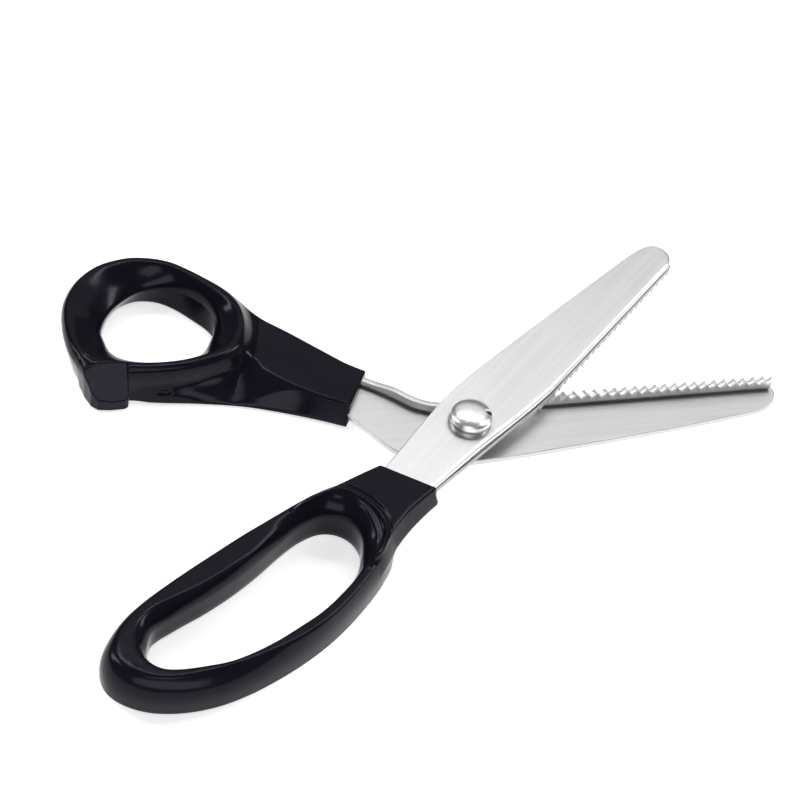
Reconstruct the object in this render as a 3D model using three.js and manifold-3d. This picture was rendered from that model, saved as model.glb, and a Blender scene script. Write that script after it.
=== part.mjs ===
// Pinking shears: two stainless halves with toothed rails, turning on one screw,
// each with a moulded handle. Millimetres, +Z up, lying flat as on a table.
//
// Every half is drawn in its own blade frame: X along the toothed edge away from
// the pivot, Y to the left seen from above, Z up from the middle plane of the teeth,
// with the pivot axis at X = Y = 0. The two halves are then turned to the open position.
import * as THREE from 'three';
import { mergeVertices } from 'three/addons/utils/BufferGeometryUtils.js';
import Module from 'manifold-3d';

const wasm = await Module();
wasm.setup();

// ---------- driving dimensions ----------
const OPEN_FRONT_DEG = 62.3;      // direction of the front blade's toothed edge
const OPEN_BACK_DEG = 19.0;       // direction of the back blade's toothed edge
const PIVOT = [16.5945, 11.9048, 8.6];  // pivot axis and tooth mid-plane in the assembly frame

const TOOTH_PITCH = 3.0;          // tooth spacing along a radius from the pivot
const TOOTH_HALF_HEIGHT = 0.95;   // crest to middle plane
const TOOTH_CLEARANCE = 0.3;      // vertical gap between the two toothed rails in mesh
const TOOTH_R0 = 21.0;            // the toothed zone starts here, from the pivot
const TOOTH_R1 = 99.0;            // and ends here

const PLATE_T = 1.9;              // blade plate thickness
const PLATE_IN = 3.9;             // inner face of each plate, from the tooth mid-plane
const PLATE_OUT = PLATE_IN + PLATE_T;
const RAIL_T = 1.7;               // thickness of a standing rail
const RAIL_SEAM = 0.3;            // seam between a rail and its plate
const FRONT_EDGE = 11.2;          // rail outer face of the front blade, from the pivot line
const BACK_EDGE = 12.4;           // the same on the back blade
const FRONT_RAIL_END = 93.8;
const BACK_RAIL_END = 95.6;
const FRONT_RAIL_START = -31.5;
const FRONT_SHANK_Z = 0.8;        // lower edge of the front rail behind the teeth
const BACK_SHANK_Z = -0.4;        // upper edge of the back rail behind the teeth

const SCREW_R = 3.0;              // screw shank
const HOLE_R = 3.2;               // its holes
const HEAD_R = 6.1;
const HEAD_H = 3.9;
const HEAD_SIDE = 1.7;             // upright side of the head below its dome
const WASHER_T = 0.45;
const SLEEVE_R = 5.0;
const THRUST_T = 0.5;
const NUT_AF = 9.0;               // across the flats
const NUT_H = 2.0;

const REST_Z = -8.6;              // underside: nut, thumb handle
const FRONT_COLLAR = [0.6, 8.6];  // finger handle collar, low and high
const BACK_COLLAR = [-8.6, -0.6]; // thumb handle collar
const FINGER_BOW = [-6.0, 6.2];
const THUMB_BOW = [-8.6, 4.4];
const LUG_TOP = -4.9;             // thickness of the stop lug at the thumb bow
const POCKET_GAP = 0.3;           // clearance of a tang in its handle

// ---------- helpers ----------
const V2 = (p) => new THREE.Vector2(p[0], p[1]);
function smoothLoop(pts, n) {
  const c = new THREE.CatmullRomCurve3(pts.map((p) => new THREE.Vector3(p[0], p[1], 0)), true, 'centripetal');
  return c.getSpacedPoints(n).slice(0, n).map((v) => [v.x, v.y]);
}
function smoothLine(pts, n) {
  const c = new THREE.CatmullRomCurve3(pts.map((p) => new THREE.Vector3(p[0], p[1], 0)), false, 'centripetal');
  return c.getSpacedPoints(n).map((v) => [v.x, v.y]);
}
function plate(outer, z0, z1, { holes = [], bevel = 0, segments = 1 } = {}) {
  const s = new THREE.Shape(outer.map(V2));
  for (const h of holes) s.holes.push(new THREE.Path(h.map(V2)));
  const g = new THREE.ExtrudeGeometry(s, {
    depth: z1 - z0 - 2 * bevel, steps: 1, bevelEnabled: bevel > 0,
    bevelThickness: bevel, bevelSize: bevel, bevelOffset: -bevel, bevelSegments: segments, curveSegments: 8,
  });
  g.translate(0, 0, z0 + bevel);
  return g;
}
function circle(r, n = 48) {
  return Array.from({ length: n }, (_, i) => [r * Math.cos((2 * Math.PI * i) / n), r * Math.sin((2 * Math.PI * i) / n)]);
}
function solid(geometry) {
  let g = geometry.clone();
  g.deleteAttribute('normal');
  g.deleteAttribute('uv');
  g = mergeVertices(g, 1e-5);
  const index = g.index.array;
  return new wasm.Manifold(new wasm.Mesh({
    numProp: 3,
    vertProperties: new Float32Array(g.attributes.position.array),
    triVerts: new Uint32Array(index),
  }));
}
function geometryOf(manifold) {
  const m = manifold.getMesh();
  const g = new THREE.BufferGeometry();
  const p = new Float32Array((m.vertProperties.length / m.numProp) * 3);
  for (let i = 0; i < p.length / 3; i++) for (let k = 0; k < 3; k++) p[3 * i + k] = m.vertProperties[m.numProp * i + k];
  g.setAttribute('position', new THREE.BufferAttribute(p, 3));
  g.setIndex(new THREE.BufferAttribute(new Uint32Array(m.triVerts), 1));
  g.computeVertexNormals();
  return g;
}
function piece(name, geometry, color, roughness, metalness) {
  const mesh = new THREE.Mesh(geometry, new THREE.MeshStandardMaterial({ color, roughness, metalness }));
  mesh.name = name;
  return mesh;
}
const STEEL = ['#c9cbcd', 0.35, 1.0];
const RAIL_STEEL = ['#a9abae', 0.4, 1.0];
const SCREW_STEEL = ['#dadcdf', 0.2, 1.0];
const BLACK = ['#14131b', 0.25, 0.0];
const BRASS = ['#b9975b', 0.4, 1.0];

// ---------- blade plates ----------
// Front plate: spine side first, then round the tip and back along the toothed edge.
const frontSpine = [[-24, 8.9], [-12, 9.7], [0, 10.3], [8, 10.2], [15.8, 9.6], [34, 7.3], [53.3, 4.7], [73.2, 1.95], [86, 0.15]];
const frontTip = [[91.0, -1.0], [94.2, -2.4], [96.1, -4.8], [96.4, -7.4], [95.3, -9.6], [92.6, -11.2]];
const frontEdge = [[88, -FRONT_EDGE - 0.1], [60, -FRONT_EDGE - 0.1], [26, -FRONT_EDGE - 0.1], [12.7, -10.1], [-6.3, -7.6], [-24.9, -5.9]];
const frontTang = [[-32.5, -4.4], [-46.5, -2.4], [-46.5, 7.2], [-32.5, 7.4]];
const frontOutline = [
  ...smoothLine(frontSpine, 20), ...smoothLine([frontSpine.at(-1), ...frontTip, frontEdge[0]], 16).slice(1),
  ...frontEdge.slice(1, 3), ...smoothLine(frontEdge.slice(2), 10).slice(1), [-29.5, -5.5], ...frontTang, [-29.5, 8.6],
].reverse();

// Back plate: lower edge from the shank to the tip, then back along the toothed edge and up the bent shank.
const backLow = [[-31.4, 13.6], [-26.2, 6.6], [-20.8, -0.4], [-13.5, -5.2], [-5, -6.9], [2.6, -6.8], [12.1, -6.2], [27.4, -4.7], [45.9, -2.7], [64.8, -0.4], [84.2, 2.3]];
const backTip = [[90.6, 3.6], [94.3, 5.3], [96.4, 8.2], [96.9, 10.6], [95.9, 12.2]];
const backEdge = [[93, BACK_EDGE + 0.2], [40, BACK_EDGE + 0.2], [4, BACK_EDGE + 0.2]];
const backShank = [[4, BACK_EDGE + 0.2], [-4.6, 12.9], [-11.0, 15.0], [-17.0, 19.9], [-24.3, 25.1]];
const backTang = [[-28.0, 26.2], [-33.0, 27.8], [-50.5, 39.5], [-55.0, 33.0], [-38.0, 19.4]];
const backOutline = [
  ...smoothLine(backLow, 26), ...smoothLine([backLow.at(-1), ...backTip, backEdge[0]], 14).slice(1),
  backEdge[1], ...smoothLine(backShank, 14), ...backTang,
];

const frontPlate = solid(plate(frontOutline, PLATE_IN, PLATE_OUT, { bevel: 0.4, segments: 2 }))
  .subtract(solid(plate(circle(HOLE_R), PLATE_IN - 1, PLATE_OUT + 1)));
const backPlate = solid(plate(backOutline, -PLATE_OUT, -PLATE_IN, { bevel: 0.4, segments: 2 }))
  .subtract(solid(plate(circle(HOLE_R), -PLATE_OUT - 1, -PLATE_IN + 1)));

// ---------- toothed rails ----------
// The tooth flanks are rings round the pivot axis, so the two rails mesh at every opening angle.
function toothZ(r) {
  if (r <= TOOTH_R0 || r >= TOOTH_R1) return 0;
  const k = ((r - TOOTH_R0) / TOOTH_PITCH) % 1;
  return TOOTH_HALF_HEIGHT * (k < 0.25 ? 4 * k : k < 0.75 ? 2 - 4 * k : 4 * k - 4);
}
function toothCutter(offset, side) {
  const top = [];
  for (let r = TOOTH_R0; r <= TOOTH_R1 + 1e-6; r += TOOTH_PITCH / 4) {
    const phase = Math.round(((r - TOOTH_R0) / TOOTH_PITCH) * 4) % 4;
    if (phase % 2 === 1 || r === TOOTH_R0 || r + TOOTH_PITCH / 4 > TOOTH_R1 + 1e-6) top.push([r, toothZ(r) + offset]);
  }
  const far = side * 9;
  let pts = [[0, far], [112, far], [112, offset], ...top.slice().reverse(), [0, offset]];
  if (side > 0) pts = pts.reverse();
  const g = new THREE.LatheGeometry(pts.map(V2), 240);
  g.rotateX(Math.PI / 2);   // the lathe axis becomes +Z
  return g;
}
function strip(path, thickness, inward) {
  // A band of constant thickness on one side of an open path.
  const off = path.map((p, i) => {
    const a = path[Math.max(0, i - 1)], b = path[Math.min(path.length - 1, i + 1)];
    const l = Math.hypot(b[0] - a[0], b[1] - a[1]);
    return [p[0] - (inward * thickness * (b[1] - a[1])) / l, p[1] + (inward * thickness * (b[0] - a[0])) / l];
  });
  const loop = [...path, ...off.reverse()];
  return THREE.ShapeUtils.area(loop.map(V2)) > 0 ? loop : loop.reverse();
}
const frontRailPath = [
  [FRONT_RAIL_END, -FRONT_EDGE], [60, -FRONT_EDGE], [26, -FRONT_EDGE],
  ...smoothLine([[26, -FRONT_EDGE], [19.5, -10.75], [12.3, -9.9], [-9, -7.5], [-22.4, -5.9], [FRONT_RAIL_START, -5.2]], 12).slice(1),
];
const backRailPath = [
  [BACK_RAIL_END, BACK_EDGE], [50, BACK_EDGE], [6, BACK_EDGE],
  ...smoothLine([[6, BACK_EDGE], [-4.6, 12.7], [-10.9, 14.8], [-16.9, 19.65], [-24.2, 24.75], [-29.0, 27.0]], 14).slice(1),
];
const cutBelow = solid(toothCutter(TOOTH_CLEARANCE / 2, -1));
const cutAbove = solid(toothCutter(-TOOTH_CLEARANCE / 2, 1));
// Behind the teeth both rails are plain and lower, so the shanks pass over each other freely.
const frontShankRelief = solid(plate([[10, -20], [10, 0], [-50, 0], [-50, -20]], -4, FRONT_SHANK_Z));
const backShankRelief = solid(plate([[4, 8], [4, 20], [-40, 44], [-44, 8]], BACK_SHANK_Z, 4));
const backCollarRelief = solid(plate([[-12, 9], [-9.5, 18], [-36, 40], [-44, 26], [-30, 12]], -1.4, 4));
const frontRail = solid(plate(strip(frontRailPath, RAIL_T, -1), -2, PLATE_IN - RAIL_SEAM)).subtract(cutBelow).subtract(frontShankRelief);
const backRail = solid(plate(strip(backRailPath, RAIL_T, 1), -PLATE_IN + RAIL_SEAM, 2)).subtract(cutAbove).subtract(backShankRelief).subtract(backCollarRelief);

// ---------- handles ----------
const fingerOuter = [
  [-44.1, 14.0], [-49.9, 17.6], [-58.2, 20.6], [-70.9, 23.6], [-83.7, 26.3], [-96.6, 28.8], [-109.5, 30.6], [-118.2, 30.3], [-125.3, 28.3],
  [-129.0, 24.0], [-129.5, 19.4], [-126.8, 12.1], [-121.3, 5.4], [-114.4, 0.0], [-106.7, -4.0], [-98.6, -7.2], [-90.2, -9.7], [-81.7, -11.3],
  [-73.0, -12.0], [-64.3, -11.8], [-55.6, -10.7], [-47.9, -8.6], [-43.3, -4.0], [-42.0, 3.0], [-42.3, 9.6],
];
const fingerHole = [
  [-52.8, 12.9], [-50.1, 9.2], [-49.6, 4.6], [-51.4, 0.4], [-54.9, -2.5], [-63.4, -6.3], [-72.6, -7.2], [-81.8, -6.8], [-90.9, -5.1],
  [-99.7, -2.0], [-107.9, 2.3], [-115.1, 8.1], [-118.7, 12.0], [-120.1, 16.0], [-119.0, 20.1], [-115.3, 22.9], [-110.7, 24.6], [-102.5, 22.9],
  [-93.5, 20.3], [-84.5, 18.4], [-75.3, 17.2], [-66.0, 16.6], [-58.6, 15.4],
];
const fingerCollar = [
  [-31.2, 9.3], [-35.6, 11.0], [-43.8, 14.0], [-51.8, 17.0], [-60.1, 18.6],
  [-64, 12], [-64, -6], [-57.5, -10.9], [-49.1, -9.7], [-40.4, -8.9], [-33, -8.7], [-27.4, -8.9],
];
const thumbBow = [
  [-57.3, 46.0], [-58.6, 53.6], [-63.2, 60.0], [-69.1, 65.7], [-75.6, 70.4], [-83.3, 73.3], [-91.4, 73.1], [-98.8, 69.8], [-104.6, 65.2],
  [-107.7, 60.8], [-108.4, 55.5], [-108.3, 49.5], [-107.0, 41.6], [-103.9, 34.6], [-98.9, 30.2], [-92.2, 27.9], [-85.1, 27.0], [-77.8, 27.4],
  [-70.8, 28.9], [-64.1, 32.4], [-59.4, 38.6],
];
const thumbBody = [
  [-24.6, 27.2], [-29.0, 31.2], [-35.0, 36.6], [-45.2, 46.0], [-53.4, 52.7], [-62.5, 60.8], [-69.1, 65.7], [-75.6, 70.6], [-83.3, 73.5],
  [-91.4, 73.2], [-98.8, 69.9], [-104.8, 65.0], [-107.7, 61.0], [-108.4, 55.5], [-108.3, 49.5], [-107.3, 41.4], [-104.3, 33.8], [-98.3, 28.4],
  [-91.2, 27.4], [-83.2, 26.1], [-75.1, 25.1], [-67.0, 23.8], [-59.0, 22.1], [-51.1, 19.6], [-43.3, 16.8], [-37.4, 14.4], [-33.0, 12.0],
];
const thumbLug = [
  [-92.1, 32.0], [-91.8, 28.4], [-94.2, 25.1], [-98.3, 24.9], [-102.6, 26.2], [-104.4, 29.5], [-106.5, 37.4], [-107.6, 44.0], [-100, 44], [-94, 38],
];
const thumbHole = [
  [-85.0, 65.9], [-80.7, 65.3], [-76.8, 63.1], [-73.5, 60.2], [-70.3, 57.1], [-67.3, 53.8], [-65.3, 50.1], [-66.1, 45.7], [-67.2, 41.4],
  [-68.7, 37.4], [-71.8, 34.2], [-75.9, 32.4], [-80.3, 31.8], [-84.7, 31.9], [-89.1, 32.6], [-93.3, 33.9], [-96.7, 36.6], [-98.0, 40.8],
  [-98.0, 45.2], [-97.3, 49.6], [-96.2, 53.9], [-94.8, 58.1], [-92.7, 62.0], [-89.2, 64.6],
];
// A hole with a flared mouth: straight below, wider towards the top face.
function flaredHole(loop, low, top, depth, flare) {
  const s = new THREE.Shape(loop.map(V2));
  const mouth = new THREE.ExtrudeGeometry(s, {
    depth: 6, steps: 1, bevelEnabled: true, bevelThickness: depth, bevelSize: flare, bevelOffset: 0, bevelSegments: 3,
  });
  mouth.translate(0, 0, top);
  return solid(plate(loop, low - 2, top + 2)).add(solid(mouth));
}
const ccw = (loop) => (THREE.ShapeUtils.area(loop.map(V2)) > 0 ? loop : loop.slice().reverse());
const grow = (loop, d) => {
  const p = ccw(loop);
  return p.map((q, i) => {
    const a = p[(i + p.length - 1) % p.length], b = p[(i + 1) % p.length];
    const u = new THREE.Vector2(q[0] - a[0], q[1] - a[1]).normalize(), v = new THREE.Vector2(b[0] - q[0], b[1] - q[1]).normalize();
    const n = new THREE.Vector2(u.y + v.y, -u.x - v.x);
    const k = d / (1 + u.dot(v)) ;
    return [q[0] + n.x * k, q[1] + n.y * k];
  });
};
const fingerHoleLoop = ccw(smoothLoop(fingerHole, 56));
const thumbHoleLoop = ccw(smoothLoop(thumbHole, 48));

const frontPocket = solid(plate(grow(frontOutline, POCKET_GAP), PLATE_IN - POCKET_GAP, PLATE_OUT + POCKET_GAP))
  .add(solid(plate(grow(strip(frontRailPath, RAIL_T, -1), POCKET_GAP), -1.5, PLATE_IN)));
const backPocket = solid(plate(grow(backOutline, POCKET_GAP), -PLATE_OUT - POCKET_GAP, -PLATE_IN + POCKET_GAP))
  .add(solid(plate(grow(strip(backRailPath, RAIL_T, 1), POCKET_GAP), -PLATE_IN, -1.1)));

const fingerHandle = solid(plate(ccw(smoothLoop(fingerOuter, 84)), FINGER_BOW[0], FINGER_BOW[1], { bevel: 2.2, segments: 3 }))
  .add(solid(plate(ccw(smoothLine(fingerCollar, 56)), FRONT_COLLAR[0], FRONT_COLLAR[1], { bevel: 0.9, segments: 2 })))
  .subtract(flaredHole(fingerHoleLoop, FINGER_BOW[0], FINGER_BOW[1], 3.2, 1.6))
  .subtract(frontPocket);
const thumbHandle = solid(plate(ccw(smoothLoop(thumbBow, 72)), THUMB_BOW[0], THUMB_BOW[1], { bevel: 2.2, segments: 3 }))
  .add(solid(plate(ccw(smoothLine(thumbBody, 90)), BACK_COLLAR[0], BACK_COLLAR[1], { bevel: 0.9, segments: 2 })))
  .add(solid(plate(ccw(thumbLug), BACK_COLLAR[0], LUG_TOP, { bevel: 0.5, segments: 1 })))
  .subtract(flaredHole(thumbHoleLoop, THUMB_BOW[0], THUMB_BOW[1], 5.5, 2.6))
  .subtract(backPocket);

// ---------- pivot ----------
const headZ = PLATE_OUT + 0.1 + WASHER_T + 0.1;
const dome = [];
for (let i = 0; i <= 8; i++) {
  const t = (i / 8) * (Math.PI / 2);
  dome.push([(HEAD_R - 0.35) * Math.cos(t), headZ + HEAD_SIDE + (HEAD_H - HEAD_SIDE) * Math.sin(t)]);
}
dome[dome.length - 1][0] = 0;
function turned(profile, segments = 48) {
  const g = new THREE.LatheGeometry(profile.map(V2), segments);
  g.rotateX(Math.PI / 2);
  return g;
}
function ring(r0, r1, z0, z1, segments = 48) {
  return turned([[r0, z0], [r1, z0], [r1, z1], [r0, z1], [r0, z0]], segments);
}
const screwBody = solid(turned([[0, REST_Z + 0.2], [SCREW_R - 0.3, REST_Z + 0.2], [SCREW_R, REST_Z + 0.5], [SCREW_R, headZ], [HEAD_R, headZ], [HEAD_R, headZ + HEAD_SIDE], ...dome]));
const notch = new THREE.BoxGeometry(2.2, 1.5, 2.0);
notch.translate(HEAD_R - 0.6, 0, headZ + HEAD_SIDE + 1.2);
notch.rotateZ(THREE.MathUtils.degToRad(17 - OPEN_BACK_DEG));
const screw = screwBody.subtract(solid(notch));
const nutLoop = Array.from({ length: 6 }, (_, i) => {
  const a = (Math.PI / 3) * i, r = NUT_AF / Math.sqrt(3);
  return [r * Math.cos(a), r * Math.sin(a)];
});
const nut = solid(plate(nutLoop, REST_Z, REST_Z + NUT_H, { bevel: 0.3, segments: 1 }))
  .subtract(solid(plate(circle(SCREW_R + 0.15), REST_Z - 1, REST_Z + NUT_H + 1)));
// Split spring washer with a narrow slit.
const slit = new THREE.BoxGeometry(6, 0.7, 3);
slit.translate(5.4, 0, -PLATE_OUT - 0.4);
slit.rotateZ(THREE.MathUtils.degToRad(205));
const springWasher = solid(ring(SCREW_R + 0.3, 5.2, REST_Z + NUT_H + 0.1, -PLATE_OUT - 0.1)).subtract(solid(slit));
const gap = 0.1;
const thrustIn = PLATE_IN - gap - THRUST_T;

// ---------- assembly ----------
const shears = new THREE.Group();
const backHalf = new THREE.Group();
backHalf.rotation.z = THREE.MathUtils.degToRad(OPEN_BACK_DEG);
const frontHalf = new THREE.Group();
frontHalf.rotation.z = THREE.MathUtils.degToRad(OPEN_FRONT_DEG);

frontHalf.add(piece('front_blade_plate', geometryOf(frontPlate), ...STEEL));
frontHalf.add(piece('front_toothed_rail', geometryOf(frontRail), ...RAIL_STEEL));
frontHalf.add(piece('finger_handle', geometryOf(fingerHandle), ...BLACK));
frontHalf.add(piece('front_thrust_washer', ring(HOLE_R, SLEEVE_R, thrustIn, PLATE_IN - gap), ...BRASS));

backHalf.add(piece('back_blade_plate', geometryOf(backPlate), ...STEEL));
backHalf.add(piece('back_toothed_rail', geometryOf(backRail), ...RAIL_STEEL));
backHalf.add(piece('thumb_handle', geometryOf(thumbHandle), ...BLACK));
backHalf.add(piece('back_thrust_washer', ring(HOLE_R, SLEEVE_R, -PLATE_IN + gap, -thrustIn), ...BRASS));
backHalf.add(piece('pivot_sleeve', ring(HOLE_R, SLEEVE_R - 0.4, -thrustIn + gap, thrustIn - gap), ...SCREW_STEEL));
backHalf.add(piece('pivot_screw', geometryOf(screw), ...SCREW_STEEL));
backHalf.add(piece('head_washer', ring(HOLE_R, HEAD_R + 0.35, PLATE_OUT + gap, PLATE_OUT + gap + WASHER_T), ...SCREW_STEEL));
backHalf.add(piece('spring_washer', geometryOf(springWasher), ...SCREW_STEEL));
backHalf.add(piece('lock_nut', geometryOf(nut), ...SCREW_STEEL));

shears.add(backHalf, frontHalf);
shears.position.set(...PIVOT);
export default shears;
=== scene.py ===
import math
import bpy
import bmesh
import numpy as np
from mathutils import Matrix, Vector


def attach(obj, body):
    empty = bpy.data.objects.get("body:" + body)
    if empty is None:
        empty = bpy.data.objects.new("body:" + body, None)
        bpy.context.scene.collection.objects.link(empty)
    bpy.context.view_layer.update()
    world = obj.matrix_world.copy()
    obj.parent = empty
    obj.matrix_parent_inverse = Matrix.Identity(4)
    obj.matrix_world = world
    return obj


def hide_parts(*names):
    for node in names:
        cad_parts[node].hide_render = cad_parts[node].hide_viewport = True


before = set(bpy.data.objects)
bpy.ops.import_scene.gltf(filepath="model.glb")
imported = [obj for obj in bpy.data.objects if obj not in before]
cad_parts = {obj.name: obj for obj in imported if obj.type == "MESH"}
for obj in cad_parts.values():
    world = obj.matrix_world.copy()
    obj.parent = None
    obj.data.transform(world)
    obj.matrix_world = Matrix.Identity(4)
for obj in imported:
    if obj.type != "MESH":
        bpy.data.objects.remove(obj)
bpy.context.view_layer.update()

# ---------------------------------------------------------------- shared sizes (mm, as in the CAD)
PIVOT = np.array([16.5945, 11.9048, 8.6])
FRONT_DEG, BACK_DEG = 62.3, 19.0
TOOTH_PITCH, TOOTH_H, TOOTH_R0, TOOTH_R1, TOOTH_GAP = 3.0, 0.95, 21.0, 99.0, 0.3
PLATE_IN, PLATE_OUT = 3.9, 5.8
RAIL_T = 1.7
FRONT_EDGE, BACK_EDGE = 11.2, 12.4

front_spine = [[-24, 8.9], [-12, 9.7], [0, 10.3], [8, 10.2], [15.8, 9.6], [34, 7.3], [53.3, 4.7], [73.2, 1.95], [86, 0.15]]
front_tip = [[91.0, -1.0], [94.2, -2.4], [96.1, -4.8], [96.4, -7.4], [95.3, -9.6], [92.6, -11.2]]
front_edge = [[88, -FRONT_EDGE - 0.1], [60, -FRONT_EDGE - 0.1], [26, -FRONT_EDGE - 0.1], [12.7, -10.1], [-6.3, -7.6], [-24.9, -5.9]]
back_low = [[-31.4, 13.6], [-26.2, 6.6], [-20.8, -0.4], [-13.5, -5.2], [-5, -6.9], [2.6, -6.8], [12.1, -6.2], [27.4, -4.7], [45.9, -2.7], [64.8, -0.4], [84.2, 2.3]]
back_tip = [[90.6, 3.6], [94.3, 5.3], [96.4, 8.2], [96.9, 10.6], [95.9, 12.2]]
back_edge = [[93, BACK_EDGE + 0.2], [40, BACK_EDGE + 0.2], [4, BACK_EDGE + 0.2]]
back_shank = [[4, BACK_EDGE + 0.2], [-4.6, 12.9], [-11.0, 15.0], [-17.0, 19.9], [-24.3, 25.1]]

finger_outer = [
    [-44.1, 14], [-49.9, 17.6], [-58.2, 21.5], [-70.9, 24.8], [-83.7, 27.6], [-96.6, 30.1], [-109.5, 31.9], [-118.4, 31.8], [-125.8, 29.6], [-129.5, 24.8],
    [-130, 19.4], [-127.5, 12], [-122, 5], [-114.8, -0.7], [-107, -4.7], [-98.9, -7.6], [-90.3, -9.9], [-81.7, -11.4], [-73, -12], [-64.3, -11.8],
    [-55.6, -10.9], [-47.9, -8.7], [-43.3, -4], [-42, 3], [-42.3, 9.6]]
finger_ridge = [
    [-44.6, 12.9], [-51.4, 16.7], [-60.0, 19.2], [-71.0, 22.4], [-83.7, 25.1], [-96.6, 27.6], [-107.5, 29.2], [-114.2, 29.3], [-119.6, 27.9],
    [-123.9, 24.0], [-125.1, 20.2], [-124.8, 16.2], [-122.9, 11.9], [-119.2, 7.9], [-114.4, 4.1], [-109.3, 0.7], [-102.8, -2.9], [-95.2, -6.3],
    [-88.1, -8.7], [-80.2, -10.2], [-72.2, -10.5], [-64.3, -10.1], [-56.7, -9.1], [-50.6, -7.5], [-47.3, -5.4], [-44.6, -2.0], [-43.3, 2.6], [-43.2, 8.4]]
finger_mouth = [
    [-50.4, 14.9], [-57.3, 17.2], [-64.3, 18.3], [-70, 18.2], [-76.6, 18.2], [-85, 19.6], [-93.2, 21.6], [-101.2, 24.4], [-108, 26.8], [-114, 26.6],
    [-118.3, 24.2], [-120.7, 20.9], [-121.4, 17.2], [-120.6, 13.2], [-117.6, 9.4], [-112.7, 5.2], [-107.3, 1.2], [-101.4, -1.6], [-94.3, -4], [-87.4, -5.7],
    [-79.9, -7.4], [-72.2, -8], [-64.4, -7.9], [-57.2, -6.9], [-52.3, -4.9], [-48.9, -1], [-46.8, 3], [-45.8, 7], [-46.4, 10.9], [-47.8, 13.2]]
finger_hole = [
    [-52.8, 12.6], [-50.1, 9], [-49.6, 4.6], [-51.4, 0.4], [-54.9, -2.5], [-63.4, -6.3], [-72.6, -7.2], [-81.8, -6.8], [-90.9, -5.1], [-99.6, -1.9],
    [-107.7, 2.5], [-114.7, 8.5], [-118.1, 12.3], [-119.4, 16.1], [-118.4, 19.9], [-115, 22.5], [-110.7, 24.2], [-102.5, 22.5], [-93.5, 19.9], [-84.5, 18],
    [-75.3, 16.8], [-66, 16.2], [-58.6, 15.1]]
finger_collar = [
    [-31.2, 9.3], [-35.6, 11.0], [-43.8, 14.0], [-51.8, 17.0], [-60.1, 18.6],
    [-64, 12], [-64, -6], [-57.5, -10.9], [-49.1, -9.7], [-40.4, -8.9], [-33, -8.9], [-27.0, -9.3]]
finger_collar_top = [
    [-31.3, 9.1], [-35.7, 10.8], [-43.9, 13.7], [-51.9, 16.5], [-60.0, 17.6],
    [-62, 12], [-62, -6], [-56.0, -8.6], [-48.0, -6.8], [-40.4, -6.2], [-33, -6.8], [-27.6, -7.6]]
thumb_bow = [
    [-56.9, 46], [-58, 53.6], [-62.6, 60.3], [-69.3, 66.5], [-75.9, 71.2], [-84.6, 73.6], [-91.2, 73.2], [-97.6, 71], [-103.3, 66.3], [-107, 60.9],
    [-108.9, 55.5], [-109.5, 48.5], [-109.2, 43.5], [-108.3, 38.6], [-106.3, 33.9], [-103.4, 29.9], [-98.9, 28.6], [-92.2, 28.5], [-85.1, 28.1], [-77.8, 28.3], [-70.8, 29.4], [-63.6, 31.6], [-58.6, 37.8]]
thumb_ridge = [
    [-107.4, 52.4], [-107.5, 47.3], [-107, 42.7], [-105.6, 38.5], [-103.1, 35.4], [-99.8, 33.3], [-95.8, 31.9], [-91.2, 30.9], [-86.5, 30.3], [-81.8, 30.2],
    [-77, 30.5], [-72.1, 31.4], [-68.1, 32.6], [-64.5, 34.3], [-61.9, 36.9], [-60, 40.3], [-58.7, 44], [-58.5, 48], [-59.4, 51.7], [-61.7, 55.8],
    [-65.1, 59.9], [-68.5, 63.3], [-72, 66.3], [-75.6, 68.8], [-79.3, 70.4], [-83.2, 71.2], [-87.1, 71.5], [-91, 70.8], [-95.1, 69.5], [-98.8, 67.2],
    [-102, 64.1], [-104.6, 60], [-106.5, 56.3]]
thumb_body = [
    [-23.9, 27.3], [-29, 31.2], [-35, 36.6], [-45.2, 46], [-53.4, 52.7], [-62.5, 60.8], [-69.1, 66], [-75.6, 70.8], [-83.9, 73.3], [-91.2, 72.9],
    [-97.6, 70.6], [-103.1, 66], [-106.8, 60.8], [-108.6, 55.5], [-109, 48.8], [-108.4, 41.4], [-106.2, 34.2], [-102.3, 28.4], [-96.2, 27], [-91.2, 27.4],
    [-83.2, 26.1], [-75.1, 25.1], [-67, 23.8], [-59, 22.1], [-51.1, 19.6], [-43.3, 16.8], [-37.4, 14.4], [-31.8, 11.9]]
thumb_body_top = [
    [-24.1, 27.1], [-29.2, 30.6], [-35.2, 36.0], [-45.4, 45.3], [-53.6, 52.1], [-62.5, 60.2], [-69.1, 65.2], [-75.6, 70.0], [-83.3, 72.9],
    [-91.4, 72.6], [-98.8, 69.3], [-104.4, 64.6], [-107.2, 60.8], [-107.8, 55.5], [-107.7, 49.5], [-106.7, 41.4], [-103.6, 34.8], [-98.3, 30.4],
    [-91.2, 28.2], [-83.2, 27.6], [-76.1, 28.2], [-69.5, 30.2], [-64.0, 32.2], [-59.9, 32.4], [-55.0, 28.0], [-44.3, 22.0], [-38.0, 18.0], [-31.2, 14.4]]
thumb_lug = [
    [-92.6, 34], [-92.6, 28.4], [-92.8, 26], [-93.8, 25.4], [-98, 25.3], [-101.6, 25.8], [-103.4, 27.4], [-104.9, 31], [-105.6, 35], [-104, 39],
    [-98, 36]]
thumb_hole = [
    [-98, 49.2], [-97.5, 45.3], [-96.5, 41.7], [-94.6, 39], [-91.2, 36.7], [-86.7, 35.1], [-81.5, 34.5], [-76.4, 34.8], [-72.2, 36.3], [-69.2, 39.4],
    [-67, 43.4], [-65.2, 47.4], [-64.8, 51.2], [-65.9, 55.3], [-68.2, 58.8], [-72.5, 62.4], [-77, 64.2], [-81.9, 64.5], [-85.9, 63.7], [-90.4, 60.9],
    [-93.8, 57.8], [-96.4, 54]]
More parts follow.
